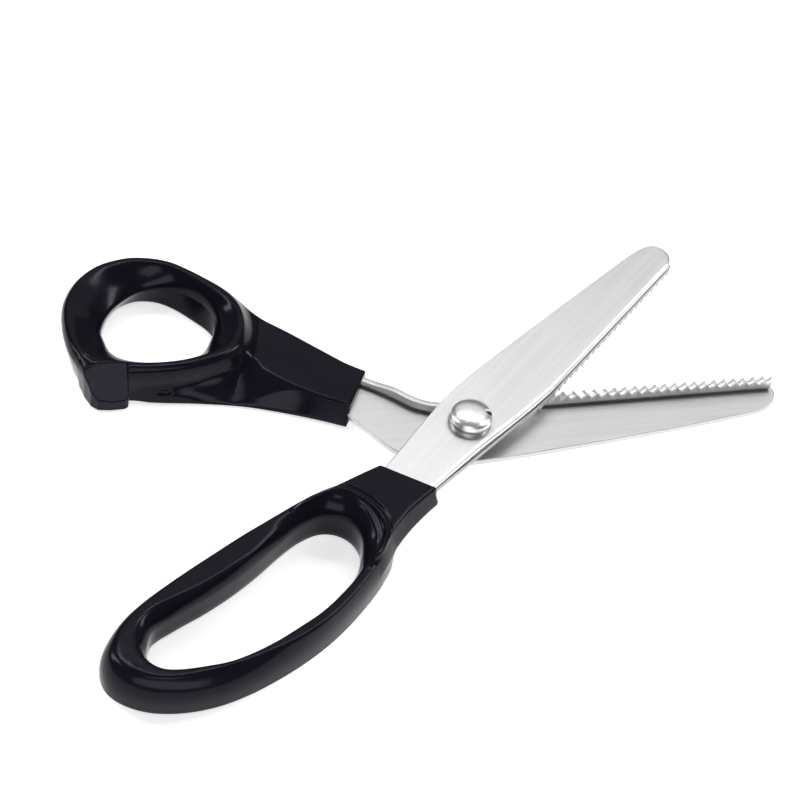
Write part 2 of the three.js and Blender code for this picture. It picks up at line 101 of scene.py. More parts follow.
thumb_low = [
    [-98, 49.4], [-97.2, 54.7], [-95, 60.1], [-91.5, 64.3], [-87, 66], [-82.9, 65.9], [-79.2, 64.7], [-74.9, 61.5], [-70.7, 57], [-67, 52.7],
    [-65.4, 49.6], [-65.2, 46.4], [-66.3, 42.9], [-68.6, 38.9], [-72, 36.1], [-76.4, 34.5], [-81.5, 34.2], [-86.6, 35], [-91, 36.5], [-94.5, 38.8],
    [-96.6, 41.7], [-97.6, 45.3]]


# ---------------------------------------------------------------- outlines
def catmull(pts, closed, per=24):
    """Centripetal Catmull-Rom through pts, sampled densely."""
    p = np.asarray(pts, float)
    n = len(p)
    out = []
    for i in range(n if closed else n - 1):
        if closed:
            p0, p1, p2, p3 = p[(i - 1) % n], p[i], p[(i + 1) % n], p[(i + 2) % n]
        else:
            p1, p2 = p[i], p[i + 1]
            p0 = p[i - 1] if i > 0 else 2 * p1 - p2
            p3 = p[i + 2] if i + 2 < n else 2 * p2 - p1
        d0 = max(np.linalg.norm(p1 - p0) ** 0.5, 1e-6)
        d1 = max(np.linalg.norm(p2 - p1) ** 0.5, 1e-6)
        d2 = max(np.linalg.norm(p3 - p2) ** 0.5, 1e-6)
        t1 = ((p1 - p0) / d0 - (p2 - p0) / (d0 + d1) + (p2 - p1) / d1) * d1
        t2 = ((p2 - p1) / d1 - (p3 - p1) / (d1 + d2) + (p3 - p2) / d2) * d1
        t = np.linspace(0, 1, per, endpoint=False)[:, None]
        c0, c1 = p1, t1
        c2 = -3 * p1 + 3 * p2 - 2 * t1 - t2
        c3 = 2 * p1 - 2 * p2 + t1 + t2
        out.append(c0 + c1 * t + c2 * t * t + c3 * t ** 3)
    out = np.concatenate(out)
    if not closed:
        out = np.vstack([out, p[-1]])
    return out


def spaced(line, n, closed):
    """n points evenly spaced along a polyline."""
    line = np.asarray(line, float)
    q = np.vstack([line, line[:1]]) if closed else line
    s = np.concatenate([[0], np.cumsum(np.linalg.norm(np.diff(q, axis=0), axis=1))])
    t = np.linspace(0, s[-1], n, endpoint=not closed)
    return np.stack([np.interp(t, s, q[:, 0]), np.interp(t, s, q[:, 1])], 1)


def area(loop):
    x, y = loop[:, 0], loop[:, 1]
    return 0.5 * np.sum(x * np.roll(y, -1) - np.roll(x, -1) * y)


def ccw(loop):
    return loop if area(loop) > 0 else loop[::-1]


def closed_loop(pts, n):
    return ccw(spaced(catmull(pts, True), n, True))


def open_line(pts, n):
    return spaced(catmull(pts, False), n, False)


def merge_close(loop, tol=0.05):
    keep = [loop[0]]
    for q in loop[1:]:
        if np.linalg.norm(q - keep[-1]) > tol:
            keep.append(q)
    if np.linalg.norm(keep[0] - keep[-1]) <= tol:
        keep.pop()
    return np.array(keep)


def offset_in(loop, d):
    """Moves a counter-clockwise loop inwards by d (a number or one per point)."""
    a, b = np.roll(loop, 1, 0), np.roll(loop, -1, 0)
    u = loop - a
    v = b - loop
    u /= np.linalg.norm(u, axis=1)[:, None]
    v /= np.linalg.norm(v, axis=1)[:, None]
    n = np.stack([-(u[:, 1] + v[:, 1]), u[:, 0] + v[:, 0]], 1)
    k = np.asarray(d, float) / np.maximum(1 + np.sum(u * v, 1), 0.35)
    return loop + n * np.broadcast_to(k, len(loop))[:, None]


# ---------------------------------------------------------------- object helpers
def place(pts, deg):
    """Blade-local millimetres to the shared frame in metres."""
    a = math.radians(deg)
    p = np.asarray(pts, float)
    x = p[:, 0] * math.cos(a) - p[:, 1] * math.sin(a) + PIVOT[0]
    y = p[:, 0] * math.sin(a) + p[:, 1] * math.cos(a) + PIVOT[1]
    return np.stack([x, y, p[:, 2] + PIVOT[2]], 1) / 1000.0


def make(name, verts, faces, body, node, mats, face_mats=None, normals=None, sharp_deg=None):
    me = bpy.data.meshes.new(name)
    me.from_pydata([tuple(v) for v in verts], [], [tuple(int(i) for i in f) for f in faces])
    me.validate(clean_customdata=False)
    me.update()
    ob = bpy.data.objects.new(name, me)
    bpy.context.scene.collection.objects.link(ob)
    for m in mats:
        me.materials.append(m)
    if face_mats is not None:
        me.polygons.foreach_set("material_index", np.asarray(face_mats, np.int32))
    me.polygons.foreach_set("use_smooth", np.ones(len(me.polygons), bool))
    if sharp_deg is not None:
        mark_sharp(me, sharp_deg)
    if normals is not None:
        me.normals_split_custom_set_from_vertices([tuple(n) for n in normals])
    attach(ob, body)
    if node:
        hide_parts(*([node] if isinstance(node, str) else node))
    return ob


def mark_sharp(me, deg):
    bm = bmesh.new()
    bm.from_mesh(me)
    lim = math.radians(deg)
    for e in bm.edges:
        if len(e.link_faces) == 2:
            e.smooth = e.calc_face_angle(0.0) < lim
        else:
            e.smooth = False
    bm.to_mesh(me)
    bm.free()


def cap(rings_v, loops, up):
    """Triangulates a flat region bounded by vertex-index loops; returns index triangles."""
    bm = bmesh.new()
    idx = {}
    edges = []
    for loop in loops:
        vs = []
        for i in loop:
            v = bm.verts.new((rings_v[i][0], rings_v[i][1], rings_v[i][2]))
            idx[v] = i
            vs.append(v)
        for a, b in zip(vs, vs[1:] + vs[:1]):
            edges.append(bm.edges.new((a, b)))
    bmesh.ops.triangle_fill(bm, edges=edges, use_beauty=True, use_dissolve=False)
    tris = []
    for f in bm.faces:
        t = [idx[v] for v in f.verts]
        f.normal_update()
        if (f.normal.z > 0) != up:
            t.reverse()
        tris.append(t)
    bm.free()
    return tris


def slab(loop, z0, z1, top_r, bot_r, holes=(), hole_r=0.15, seg=4):
    """A flat plate with rounded edges. top_r and bot_r may differ from point to point."""
    loop = ccw(loop)
    n = len(loop)
    top_r = np.broadcast_to(np.asarray(top_r, float), n)
    bot_r = np.broadcast_to(np.asarray(bot_r, float), n)
    verts, faces = [], []

    def ring(xy, z):
        start = len(verts)
        zz = np.broadcast_to(z, len(xy))
        verts.extend([(p[0], p[1], q) for p, q in zip(xy, zz)])
        return list(range(start, start + len(xy)))

    def join(a, b, flip=False):
        m = len(a)
        for i in range(m):
            j = (i + 1) % m
            f = (a[i], a[j], b[j], b[i])
            faces.append(f[::-1] if flip else f)

    rings = []
    rings.append(ring(offset_in(loop, bot_r + 0.06), z0))
    for k in range(seg + 1):
        t = k / seg * math.pi / 2
        rings.append(ring(offset_in(loop, bot_r * (1 - math.sin(t))), z0 + bot_r * (1 - math.cos(t))))
    for k in range(seg + 1):
        t = k / seg * math.pi / 2
        rings.append(ring(offset_in(loop, top_r * (1 - math.cos(t))), z1 - top_r * (1 - math.sin(t))))
    rings.append(ring(offset_in(loop, top_r + 0.06), z1))
    for a, b in zip(rings, rings[1:]):
        join(a, b)
    top_loops, bot_loops = [rings[-1]], [rings[0]]
    for h in holes:
        h = ccw(h)
        hb = ring(offset_in(h, -hole_r - 0.05), z0)
        h0 = ring(offset_in(h, -hole_r), z0)
        h1 = ring(h, z0 + hole_r)
        h2 = ring(h, z1 - hole_r)
        h3 = ring(offset_in(h, -hole_r), z1)
        ht = ring(offset_in(h, -hole_r - 0.05), z1)
        for a, b in zip([hb, h0, h1, h2, h3], [h0, h1, h2, h3, ht]):
            join(a, b, True)
        top_loops.append(ht)
        bot_loops.append(hb)
    faces += cap(verts, top_loops, True)
    faces += cap(verts, bot_loops, False)
    return np.array(verts), faces


def lathe(profile, seg=96, close_axis=True):
    """Turns (r, z) points about the pivot axis. Points at r = 0 become single vertices."""
    verts, faces, rings = [], [], []
    for r, z in profile:
        if r < 1e-6:
            verts.append((0, 0, z))
            rings.append([len(verts) - 1])
        else:
            s = len(verts)
            for i in range(seg):
                t = 2 * math.pi * i / seg
                verts.append((r * math.cos(t), r * math.sin(t), z))
            rings.append(list(range(s, s + seg)))
    for a, b in zip(rings, rings[1:]):
        for i in range(seg):
            j = (i + 1) % seg
            if len(a) == 1 and len(b) == 1:
                continue
            if len(a) == 1:
                faces.append((a[0], b[j], b[i]))
            elif len(b) == 1:
                faces.append((a[i], a[j], b[0]))
            else:
                faces.append((a[i], a[j], b[j], b[i]))
    return np.array(verts, float), faces


# ---------------------------------------------------------------- moulded handles, from a solid field
def sd(loop, x, y):
    """Signed distance to a closed loop, negative inside."""
    best = np.full(x.shape, 1e9)
    inside = np.zeros(x.shape, bool)
    n = len(loop)
    for i in range(n):
        ax, ay = loop[i]
        bx, by = loop[(i + 1) % n]
        ex, ey = bx - ax, by - ay
        wx, wy = x - ax, y - ay
        t = np.clip((wx * ex + wy * ey) / (ex * ex + ey * ey), 0, 1)
        dx, dy = wx - ex * t, wy - ey * t
        np.minimum(best, dx * dx + dy * dy, out=best)
        c = (ay > y) != (by > y)
        if ey != 0:
            inside ^= c & (wx < (y - ay) * ex / ey)
    d = np.sqrt(best)
    return np.where(inside, -d, d)


def round_and(a, b, r):
    u, v = np.maximum(a + r, 0), np.maximum(b + r, 0)
    return np.sqrt(u * u + v * v) - r + np.minimum(np.maximum(a + r, b + r), 0)


def round_or(a, b, r):
    return -round_and(-a, -b, r)


def soft_or(a, b, k):
    h = np.maximum(k - np.abs(a - b), 0) / k
    return np.minimum(a, b) - h * h * k * 0.25


def step(e0, e1, x):
    t = np.clip((x - e0) / (e1 - e0), 0, 1)
    return t * t * (3 - 2 * t)


class Sampled:
    """Loop distances on a fine plan grid, read back with smooth interpolation."""

    def __init__(self, loops, lo, hi, h):
        self.lo, self.h = lo, h
        nx = int((hi[0] - lo[0]) / h) + 4
        ny = int((hi[1] - lo[1]) / h) + 4
        gx = lo[0] + h * np.arange(nx)
        gy = lo[1] + h * np.arange(ny)
        X, Y = np.meshgrid(gx, gy, indexing="ij")
        self.f = {k: sd(v, X, Y) for k, v in loops.items()}

    def __call__(self, key, x, y):
        f = self.f[key]
        u = np.clip((x - self.lo[0]) / self.h, 1, f.shape[0] - 3)
        v = np.clip((y - self.lo[1]) / self.h, 1, f.shape[1] - 3)
        i, j = u.astype(int), v.astype(int)
        a, b = u - i, v - j

        def w(t):
            return [((-0.5 * t + 1.0) * t - 0.5) * t, (1.5 * t - 2.5) * t * t + 1, ((-1.5 * t + 2.0) * t + 0.5) * t, (0.5 * t - 0.5) * t * t]
        wa, wb = w(a), w(b)
        out = 0
        for p in range(4):
            row = 0
            for q in range(4):
                row = row + wb[q] * f[i + p - 1, j + q - 1]
            out = out + wa[p] * row
        return out


def surface(field, lo, hi, h):
    """Surface nets over a grid, then the points are drawn onto the field's zero level."""
    n = [int(math.ceil((hi[k] - lo[k]) / h)) + 1 for k in range(3)]
    ax = [lo[k] + h * np.arange(n[k]) for k in range(3)]
    X, Y, Z = np.meshgrid(*ax, indexing="ij")
    F = field(X.ravel(), Y.ravel(), Z.ravel()).reshape(n)
    F = np.where(np.abs(F) < 1e-9, 1e-9, F)
    S = F < 0
    corner = [(a, b, c) for a in (0, 1) for b in (0, 1) for c in (0, 1)]
    cut = lambda A, o: A[o[0]:n[0] - 1 + o[0], o[1]:n[1] - 1 + o[1], o[2]:n[2] - 1 + o[2]]
    count = sum(cut(S, o).astype(np.int8) for o in corner)
    mixed = (count > 0) & (count < 8)
    cell = np.argwhere(mixed)
    index = -np.ones(mixed.shape, np.int64)
    index[mixed] = np.arange(len(cell))
    acc = np.zeros((len(cell), 3))
    num = np.zeros(len(cell))
    for a in corner:
        for b in corner:
            if sum(abs(a[k] - b[k]) for k in range(3)) == 1 and a < b:
                fa = cut(F, a)[mixed]
                fb = cut(F, b)[mixed]
                x = (fa < 0) != (fb < 0)
                t = np.where(x, fa / np.where(x, fa - fb, 1), 0)
                p = np.array(a)[None] + t[:, None] * (np.array(b) - np.array(a))[None]
                acc += np.where(x[:, None], p, 0)
                num += x
    V = (cell + acc / num[:, None]) * h + np.array(lo)
    quads = []
    for d in range(3):
        e, g = [k for k in range(3) if k != d]
        sl0 = [slice(1, n[k] - 1) for k in range(3)]
        sl0[d] = slice(0, n[d] - 1)
        sl1 = list(sl0)
        sl1[d] = slice(1, n[d])
        A, B = S[tuple(sl0)], S[tuple(sl1)]
        where = np.argwhere(A != B)
        base = where + np.array([sl0[k].start for k in range(3)])
        flip = A[tuple(where.T)]
        c = []
        for oe, og in ((-1, -1), (0, -1), (0, 0), (-1, 0)):
            q = base.copy()
            q[:, e] += oe
            q[:, g] += og
            c.append(index[q[:, 0], q[:, 1], q[:, 2]])
        Q = np.stack(c, 1)
        if d == 1:
            flip = ~flip
        Q = np.where(flip[:, None], Q, Q[:, ::-1])
        quads.append(Q)
    quads = np.concatenate(quads)

    def grad(P, e=0.04):
        g = np.empty_like(P)
        for k in range(3):
            d = np.zeros(3)
            d[k] = e
            g[:, k] = (field(*(P + d).T) - field(*(P - d).T)) / (2 * e)
        return g
    for it in range(4):
        if it < 3:
            nb = np.zeros_like(V)
            cnt = np.zeros(len(V))
            for k in range(4):
                a, b = quads[:, k], quads[:, (k + 1) % 4]
                np.add.at(nb, a, V[b])
                np.add.at(cnt, a, 1)
                np.add.at(nb, b, V[a])
                np.add.at(cnt, b, 1)
            mean = nb / cnt[:, None]
            g = grad(V)
            g /= np.maximum(np.linalg.norm(g, axis=1), 1e-6)[:, None]
            move = mean - V
            V = V + 0.6 * (move - np.sum(move * g, 1)[:, None] * g)
        g = grad(V)
        m = np.maximum(np.linalg.norm(g, axis=1), 0.35)
        s = np.clip(field(*V.T) / m, -0.6 * h, 0.6 * h)
        V = V - g / m[:, None] * s[:, None]
    g = grad(V, 0.06)
    g /= np.maximum(np.linalg.norm(g, axis=1), 1e-6)[:, None]
    return V, quads, g


def bulge(s, p):
    """0 at the foot of a wall, 1 at its crest, with a full convex side between."""
    s = np.clip(s, 0, 1)
    return 1 - (1 - s ** p) ** (1 / p)


def finger_field(lo, hi):
    L = Sampled({
        "outer": closed_loop(finger_outer, 260), "ridge": closed_loop(finger_ridge, 260), "mouth": closed_loop(finger_mouth, 240),
        "hole": closed_loop(finger_hole, 240), "collar": ccw(spaced(catmull(finger_collar, False), 200, False)),
        "ctop": ccw(spaced(catmull(finger_collar_top, False), 200, False))}, lo, hi, 0.25)

    def field(x, y, z):
        near = step(-68.0, -48.0, x) * step(-8.0, 4.0, y)
        top = 6.55 + 1.75 * near
        low = -6.0
        d_out, d_rid = L("outer", x, y), L("ridge", x, y)
        s = np.clip((z + 3.0) / (top + 3.0), 0, 1.2)
        far = step(10.0, 24.0, y)
        s = s ** 3.0 * (1 - far) + bulge(s, 2.2) * far
        wall = d_out * (1 - s) + d_rid * s
        depth = 5.0 + 1.0 * near
        t = np.clip((z - (top - depth)) / depth, 0, 1.2)
        d_hole, d_mouth = L("hole", x, y), L("mouth", x, y)
        hole = d_hole * (1 - t ** 1.9) + d_mouth * t ** 1.9
        flare = np.clip((-3.2 - z) / 2.8, 0, 1.2)
        hole = hole - 0.35 * flare ** 2
        ring = round_and(wall, z - top, 0.5)
        ring = round_and(ring, low - z, 1.8)
        ring = round_and(ring, -hole, 0.75)
        d_c, d_t = L("collar", x, y), L("ctop", x, y)
        q = np.clip((z - 0.6) / 8.0, 0, 1)
        cw = d_c * (1 - q) + d_t * q
        col = round_and(cw, z - 8.6, 0.8)
        col = round_and(col, 0.6 - z, 2.2)
        inner = d_rid + 1.2
        col = round_and(col, -inner, 0.5)
        f = soft_or(ring, col, 1.1)
        groove = 0.62 - np.sqrt((d_rid - 0.35) ** 2 + ((z - 8.85) * 0.9) ** 2)
        groove = np.where((x > -58) & (d_c < 1), groove, -1)
        return round_and(f, groove, 0.3)
    return field


def thumb_field(lo, hi):
    L = Sampled({
        "bow": closed_loop(thumb_bow, 240), "ridge": closed_loop(thumb_ridge, 260), "hole": closed_loop(thumb_hole, 220),
        "body": ccw(spaced(catmull(thumb_body, False), 260, False)), "btop": ccw(spaced(catmull(thumb_body_top, False), 260, False)),
        "low": closed_loop(thumb_low, 220), "lug": ccw(merge_close(np.array(thumb_lug, float)))}, lo, hi, 0.25)

    def field(x, y, z):
        d_bow, d_rid, d_hole = L("bow", x, y), L("ridge", x, y), L("hole", x, y)
        s = bulge((z + 0.8) / 5.6, 2.5)
        wall = d_bow * (1 - s) + d_rid * s - 0.35 * step(52, 66, y) * (1 - s)
        wall = wall + 2.3 * step(-95, -106, x) * np.clip((1.8 - z) / 10.4, 0, 1)
        t = np.clip((z + 1.5) / 6.1, 0, 1.1)
        mouth = d_rid + 1.1
        u = np.clip((-1.5 - z) / 7.1, 0, 1)
        hole = d_hole * (1 - u) + L("low", x, y) * u
        hole = hole * (1 - t ** 1.7) + mouth * t ** 1.7
        ring = round_and(wall, z - 4.8, 0.45)
        d_b, d_t = L("body", x, y), L("btop", x, y)
        q = np.clip((z + 8.0) / 7.4, 0, 1)
        bw = d_b * (1 - q) + d_t * q + 3.5 * step(-86, -98, x)
        mid = y - 34.0 + 0.7 * (x + 45.0)
        body = round_and(bw, z + 0.6, 0.8 + 4.8 * step(-43.0, -60.0, x) * step(4, -6, mid))
        f = soft_or(ring, body, 6.5 * step(-74, -60, x) + 1.6)
        d_l = L("lug", x, y)
        face = (z + 3.9 - 1.26 * (y - 25.6)) / 1.61
        lug = round_and(d_l, face, 0.35)
        lug = round_and(lug, z - 3.6, 0.5)
        lug = round_and(lug, -(d_rid + 1.2), 0.5)
        f = soft_or(f, lug, 0.7 + 1.6 * step(-99, -104, x))
        f = round_and(f, np.minimum(face, -92.8 - x), 0.35)
        f = round_and(f, -hole, 0.65)
        dimple = 1.0 - np.sqrt(((x + 82.5) / 2.3) ** 2 + ((z + 4.0) / 1.1) ** 2 + ((y - 26.8) / 1.2) ** 2)
        f = round_and(f, dimple, 0.3)
        return round_and(f, -8.6 - z, 1.9 - 0.8 * step(-84, -94, x))
    return field


# ---------------------------------------------------------------- materials
def nodes_of(name):
    m = bpy.data.materials.new(name)
    m.use_nodes = True
    nt = m.node_tree
    nt.nodes.clear()
    out = nt.nodes.new("ShaderNodeOutputMaterial")
    bs = nt.nodes.new("ShaderNodeBsdfPrincipled")
    nt.links.new(bs.outputs[0], out.inputs[0])
    return m, nt, bs


def noise(nt, vec, scale, detail=3.0, rough=0.5, mscale=(1, 1, 1), rot=0.0):
    mp = nt.nodes.new("ShaderNodeMapping")
    mp.vector_type = "POINT"
    mp.inputs["Rotation"].default_value = (0, 0, 0)
    mp.inputs["Scale"].default_value = mscale
    src = vec
    if rot:
        r = nt.nodes.new("ShaderNodeMapping")
        r.inputs["Rotation"].default_value = (0, 0, rot)
        nt.links.new(vec, r.inputs["Vector"])
        src = r.outputs[0]
    nt.links.new(src, mp.inputs["Vector"])
    n = nt.nodes.new("ShaderNodeTexNoise")
    n.inputs["Scale"].default_value = scale
    n.inputs["Detail"].default_value = detail
    n.inputs["Roughness"].default_value = rough
    nt.links.new(mp.outputs[0], n.inputs["Vector"])
    return n.outputs[0]


def remap(nt, val, lo, hi, a=0.3, b=0.7):
    mr = nt.nodes.new("ShaderNodeMapRange")
    mr.inputs["From Min"].default_value = a
    mr.inputs["From Max"].default_value = b
    mr.inputs["To Min"].default_value = lo
    mr.inputs["To Max"].default_value = hi
    nt.links.new(val, mr.inputs["Value"])
    return mr.outputs[0]


def maths(nt, op, a, b):
    m = nt.nodes.new("ShaderNodeMath")
    m.operation = op
    for i, v in enumerate((a, b)):
        if isinstance(v, (int, float)):
            m.inputs[i].default_value = v
        else:
            nt.links.new(v, m.inputs[i])
    return m.outputs[0]


def mix_rgb(nt, fac, c1, c2):
    m = nt.nodes.new("ShaderNodeMix")
    m.data_type = "RGBA"
    for key, v in (("A", c1), ("B", c2)):
        sock = [s for s in m.inputs if s.name == key and s.type == "RGBA"][0]
        if isinstance(v, tuple):
            sock.default_value = v
        else:
            nt.links.new(v, sock)
    nt.links.new(fac, m.inputs[0])
    return [s for s in m.outputs if s.type == "RGBA"][0]


def bump(nt, height, strength, dist, normal=None):
    b = nt.nodes.new("ShaderNodeBump")
    b.inputs["Strength"].default_value = strength
    b.inputs["Distance"].default_value = dist
    nt.links.new(height, b.inputs["Height"])
    if normal is not None:
        nt.links.new(normal, b.inputs["Normal"])
    return b.outputs[0]


def brushed(name, deg, base, dark, rough=(0.30, 0.42), metallic=1.0, streak=1.0):
    """Steel ground in one direction, along the blade."""
    m, nt, bs = nodes_of(name)
    tc = nt.nodes.new("ShaderNodeTexCoord").outputs["Object"]
    rot = -math.radians(deg)
    fine = noise(nt, tc, 1.0, 3, 0.6, (38, 3100, 3100), rot)
    broad = noise(nt, tc, 1.0, 2, 0.5, (14, 620, 620), rot)
    blot = noise(nt, tc, 55.0, 2, 0.5)
    s = maths(nt, "ADD", maths(nt, "MULTIPLY", fine, 0.55 * streak), maths(nt, "MULTIPLY", broad, 0.45 * streak))
    s = maths(nt, "ADD", s, maths(nt, "MULTIPLY", blot, 0.18))
    nt.links.new(mix_rgb(nt, remap(nt, s, 0, 1, 0.36, 0.84), dark + (1,), base + (1,)), bs.inputs["Base Color"])
    nt.links.new(remap(nt, maths(nt, "ADD", maths(nt, "MULTIPLY", fine, 0.7), maths(nt, "MULTIPLY", blot, 0.3)), rough[0], rough[1]), bs.inputs["Roughness"])
    bs.inputs["Metallic"].default_value = metallic
    nt.links.new(bump(nt, maths(nt, "ADD", fine, maths(nt, "MULTIPLY", broad, 1.5)), 0.10, 0.00005), bs.inputs["Normal"])
    return m


def polished(name, base, dark, rough=(0.10, 0.2)):
    m, nt, bs = nodes_of(name)
    tc = nt.nodes.new("ShaderNodeTexCoord").outputs["Object"]
    a = noise(nt, tc, 420.0, 4, 0.55)
    b = noise(nt, tc, 2600.0, 2, 0.6)
    nt.links.new(mix_rgb(nt, remap(nt, a, 0, 1), dark + (1,), base + (1,)), bs.inputs["Base Color"])
    nt.links.new(remap(nt, b, rough[0], rough[1]), bs.inputs["Roughness"])
    bs.inputs["Metallic"].default_value = 1.0
    nt.links.new(bump(nt, maths(nt, "ADD", a, maths(nt, "MULTIPLY", b, 0.1)), 0.035, 0.0001), bs.inputs["Normal"])
    return m


def moulded(name, base, tint, rough=(0.16, 0.26), spec=0.28):
    """Glossy moulded plastic: faint flow waviness, fine handling scuffs."""
    m, nt, bs = nodes_of(name)
    tc = nt.nodes.new("ShaderNodeTexCoord").outputs["Object"]
    flow = noise(nt, tc, 95.0, 2, 0.5)
    mid = noise(nt, tc, 420.0, 3, 0.5)
    fine = noise(nt, tc, 3200.0, 2, 0.6)
    nt.links.new(mix_rgb(nt, remap(nt, flow, 0, 1), base + (1,), tint + (1,)), bs.inputs["Base Color"])
    nt.links.new(remap(nt, maths(nt, "ADD", maths(nt, "MULTIPLY", mid, 0.6), maths(nt, "MULTIPLY", fine, 0.4)), rough[0], rough[1]), bs.inputs["Roughness"])
    bs.inputs["Specular IOR Level"].default_value = spec
    bs.inputs["Specular Tint"].default_value = (0.88, 0.85, 1.0, 1)
    nb = bump(nt, flow, 0.10, 0.0010)
    nt.links.new(bump(nt, fine, 0.035, 0.00008, nb), bs.inputs["Normal"])
    return m


M_FRONT = brushed("blade_steel_front", FRONT_DEG, (0.785, 0.785, 0.79), (0.66, 0.665, 0.67))
M_BACK = brushed("blade_steel_back", BACK_DEG, (0.66, 0.66, 0.665), (0.54, 0.545, 0.55))
M_RAIL_F = brushed("rail_steel_front", FRONT_DEG, (0.52, 0.525, 0.53), (0.40, 0.405, 0.41), (0.42, 0.55))
M_RAIL_B = brushed("rail_steel_back", BACK_DEG, (0.72, 0.72, 0.725), (0.56, 0.565, 0.57), (0.42, 0.55))
M_TEETH = polished("rail_teeth_cut", (0.86, 0.86, 0.865), (0.72, 0.72, 0.725), (0.24, 0.36))
# painted shade: flat near-black for the rail-foot seams and the screw-head pit, standing in for the shade in those
# gaps
M_PAINTED_SHADE = moulded("seam_pit_painted_shade", (0.012, 0.012, 0.012), (0.03, 0.03, 0.03), (0.5, 0.7), 0.2)
M_SCREW = polished("screw_chrome", (0.86, 0.86, 0.865), (0.78, 0.78, 0.785), (0.27, 0.31))
# painted dark reflection: a darker steel on the side band of the screw head, standing in for the dark surroundings it
# reflects
M_SCREW_SIDE_PAINTED_DARK = polished("screw_side_painted_dark_reflection", (0.34, 0.34, 0.345), (0.24, 0.24, 0.245), (0.3, 0.42))
M_BRASS = polished("washer_brass_satin", (0.80, 0.62, 0.34), (0.62, 0.46, 0.24), (0.28, 0.42))
M_BLACK_F = moulded("handle_black_finger", (0.0048, 0.0045, 0.0082), (0.0072, 0.0067, 0.0120), (0.12, 0.20), 0.13)
M_BLACK_T = moulded("handle_black_thumb", (0.0044, 0.0041, 0.0076), (0.0068, 0.0063, 0.0112), (0.12, 0.20), 0.13)


# ---------------------------------------------------------------- blade plates
def front_outline():
    spine = open_line(front_spine, 60)
    tip = open_line([front_spine[-1]] + front_tip + [front_edge[0]], 70)
    bend = open_line(front_edge[2:], 50)
    straight = np.stack([np.linspace(88, 26, 30), np.full(30, -FRONT_EDGE - 0.1)], 1)
    return ccw(merge_close(np.vstack([spine, tip[1:], straight[1:], bend[1:], [[-29.5, -5.5], [-32.5, -4.4], [-46.5, -2.4], [-46.5, 7.2], [-32.5, 7.4], [-29.5, 8.6]]])))


def back_outline():
    low = open_line(back_low, 80)
    tip = open_line([back_low[-1]] + back_tip + [back_edge[0]], 60)
    straight = np.stack([np.linspace(93, 4, 30), np.full(30, BACK_EDGE + 0.2)], 1)
    shank = open_line(back_shank, 50)
    return ccw(merge_close(np.vstack([low, tip[1:], straight[1:], shank[1:], [[-28.0, 26.2], [-33.0, 27.8], [-50.5, 39.5], [-55.0, 33.0], [-38.0, 19.4]]])))


circle = lambda r, n=72: np.array([[r * math.cos(2 * math.pi * i / n), r * math.sin(2 * math.pi * i / n)] for i in range(n)])

fo = front_outline()
rail_side = (fo[:, 1] < -2.0) & (fo[:, 0] > -30)
w = np.clip((-fo[:, 1] - 4.0) / 3.0, 0, 1) * rail_side
v, f = slab(fo, PLATE_IN, PLATE_OUT, 0.32 + 0.85 * w, 0.3, [circle(3.2)], seg=6)
make("front_blade", place(v, FRONT_DEG), f, "front_half", "front_blade_plate", [M_FRONT], sharp_deg=50)

bo = back_outline()
v, f = slab(bo, -PLATE_OUT, -PLATE_IN, 0.3, 0.3, [circle(3.2)], seg=4)
make("back_blade", place(v, BACK_DEG), f, "back_half", "back_blade_plate", [M_BACK], sharp_deg=50)


